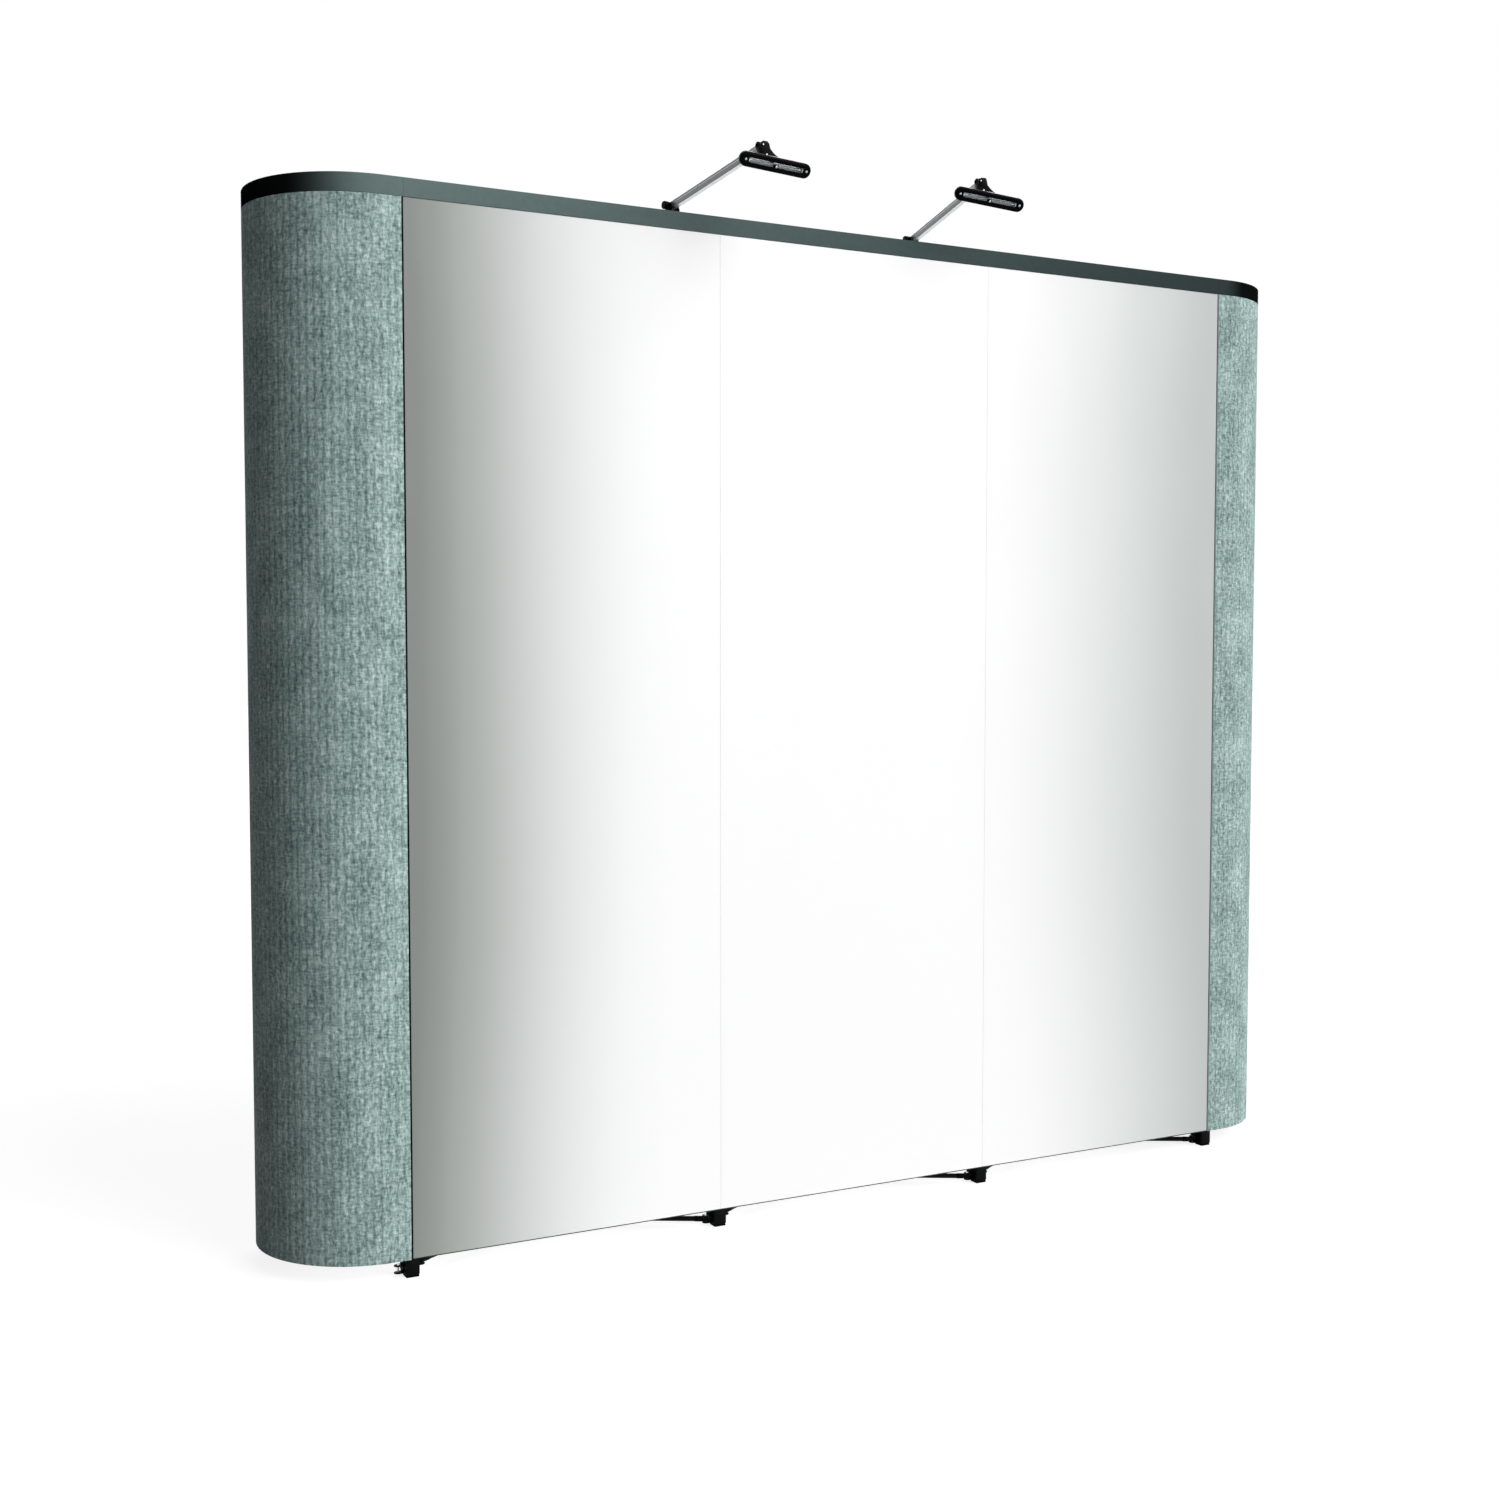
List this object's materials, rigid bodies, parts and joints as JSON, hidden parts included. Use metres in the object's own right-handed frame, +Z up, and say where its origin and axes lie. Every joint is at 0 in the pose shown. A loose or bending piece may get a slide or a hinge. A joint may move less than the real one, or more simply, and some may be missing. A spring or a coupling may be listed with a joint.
{
  "type": "fabric backwall display",
  "caption": "Free-standing exhibition backwall: flat mural panels between two bent fabric ends on a folding lattice of hubs and tubes, with a header cap and arm lamps.",
  "frame": {"origin": "on the floor, under the middle of the box round the whole display", "axes": "+X from the left end to the right end as seen from the front, +Y from the front to the back, +Z up"},
  "size_m": [2.753, 0.685, 2.455],
  "materials": {
    "mural_film": "satin",
    "ribbed_fabric": "matte",
    "header_plastic": "satin",
    "channel_bar": "satin",
    "hub_black": "satin",
    "tube_black": "satin",
    "lamp_black": "gloss",
    "lamp_arm": "satin",
    "reflector": "polished",
    "lamp_glass": "gloss"
  },
  "bodies": {
    "frame": {"front_channel_bar_1": "channel_bar", "front_channel_bar_2": "channel_bar", "front_channel_bar_3": "channel_bar", "front_channel_bar_4": "channel_bar", "rear_channel_bar_left": "channel_bar", "rear_channel_bar_right": "channel_bar", "upright_chain_1_a": "hub_black", "upright_chain_1_b": "hub_black", "upright_chain_2_a": "hub_black", "upright_chain_2_b": "hub_black", "upright_chain_3_a": "hub_black", "upright_chain_3_b": "hub_black", "upright_chain_4_a": "hub_black", "upright_chain_4_b": "hub_black", "level_tube_1_1_upper": "tube_black", "level_tube_1_1_lower": "tube_black", "level_tube_1_2_upper": "tube_black", "level_tube_1_2_lower": "tube_black", "level_tube_1_3_upper": "tube_black", "level_tube_1_3_lower": "tube_black", "level_tube_2_1_upper": "tube_black", "level_tube_2_1_lower": "tube_black", "level_tube_2_2_upper": "tube_black", "level_tube_2_2_lower": "tube_black", "level_tube_2_3_upper": "tube_black", "level_tube_2_3_lower": "tube_black", "level_tube_3_1_upper": "tube_black", "level_tube_3_1_lower": "tube_black", "level_tube_3_2_upper": "tube_black", "level_tube_3_2_lower": "tube_black", "level_tube_3_3_upper": "tube_black", "level_tube_3_3_lower": "tube_black", "level_tube_4_1_upper": "tube_black", "level_tube_4_1_lower": "tube_black", "level_tube_4_2_upper": "tube_black", "level_tube_4_2_lower": "tube_black", "level_tube_4_3_upper": "tube_black", "level_tube_4_3_lower": "tube_black", "lamp_rail_1": "hub_black", "lamp_rail_2": "hub_black"},
    "mural_1": {"mural_1": "mural_film"},
    "mural_2": {"mural_2": "mural_film"},
    "mural_3": {"mural_3": "mural_film"},
    "end_panel_left": {"end_panel_left": "ribbed_fabric"},
    "end_panel_right": {"end_panel_right": "ribbed_fabric"},
    "header_straight": {"header_straight": "header_plastic"},
    "header_end_left": {"header_end_left": "header_plastic"},
    "header_end_right": {"header_end_right": "header_plastic"},
    "lamp_1_knuckle": {"lamp_knuckle_1": "lamp_black"},
    "lamp_1_arm": {"lamp_arm_1": "lamp_arm"},
    "lamp_1_head": {"lamp_fin_1": "lamp_black", "lamp_housing_1": "lamp_black", "lamp_reflector_1": "reflector", "lamp_tube_1": "lamp_glass"},
    "lamp_2_knuckle": {"lamp_knuckle_2": "lamp_black"},
    "lamp_2_arm": {"lamp_arm_2": "lamp_arm"},
    "lamp_2_head": {"lamp_fin_2": "lamp_black", "lamp_housing_2": "lamp_black", "lamp_reflector_2": "reflector", "lamp_tube_2": "lamp_glass"}
  },
  "joints": [
    {"name": "mural_1_pull", "type": "slide", "parent": "frame", "child": "mural_1", "axis": [0, -1, 0], "range_m": [0, 0.15]},
    {"name": "mural_2_pull", "type": "slide", "parent": "frame", "child": "mural_2", "axis": [0, -1, 0], "range_m": [0, 0.15]},
    {"name": "mural_3_pull", "type": "slide", "parent": "frame", "child": "mural_3", "axis": [0, -1, 0], "range_m": [0, 0.15]},
    {"name": "end_panel_left_pull", "type": "slide", "parent": "frame", "child": "end_panel_left", "axis": [-1, 0, 0], "range_m": [0, 0.15]},
    {"name": "end_panel_right_pull", "type": "slide", "parent": "frame", "child": "end_panel_right", "axis": [1, 0, 0], "range_m": [0, 0.15]},
    {"name": "header_straight_lift", "type": "slide", "parent": "frame", "child": "header_straight", "axis": [0, 0, 1], "range_m": [0, 0.05]},
    {"name": "header_end_left_lift", "type": "slide", "parent": "frame", "child": "header_end_left", "axis": [0, 0, 1], "range_m": [0, 0.05]},
    {"name": "header_end_right_lift", "type": "slide", "parent": "frame", "child": "header_end_right", "axis": [0, 0, 1], "range_m": [0, 0.05]},
    {"name": "lamp_1_swivel", "type": "hinge", "parent": "frame", "child": "lamp_1_knuckle", "pos_m": [-0.3685, 0.12922, 2.379], "axis": [0, 0, 1], "range_deg": [-40, 40]},
    {"name": "lamp_1_lift", "type": "hinge", "parent": "lamp_1_knuckle", "child": "lamp_1_arm", "pos_m": [-0.3685, 0.12922, 2.379], "axis": [-0.9984, -0.0558, 0], "range_deg": [-8, 50]},
    {"name": "lamp_1_tilt", "type": "hinge", "parent": "lamp_1_arm", "child": "lamp_1_head", "pos_m": [-0.34588, -0.27545, 2.42589], "axis": [0.9977, 0.0506, -0.0451], "range_deg": [-60, 45]},
    {"name": "lamp_2_swivel", "type": "hinge", "parent": "frame", "child": "lamp_2_knuckle", "pos_m": [0.3685, 0.21936, 2.393], "axis": [0, 0, 1], "range_deg": [-40, 40]},
    {"name": "lamp_2_lift", "type": "hinge", "parent": "lamp_2_knuckle", "child": "lamp_2_arm", "pos_m": [0.3685, 0.21936, 2.393], "axis": [-0.9866, 0.1633, 0], "range_deg": [-8, 50]},
    {"name": "lamp_2_tilt", "type": "hinge", "parent": "lamp_2_arm", "child": "lamp_2_head", "pos_m": [0.3024, -0.1799, 2.44484], "axis": [0.9781, -0.1763, -0.1106], "range_deg": [-60, 45]}
  ]
}
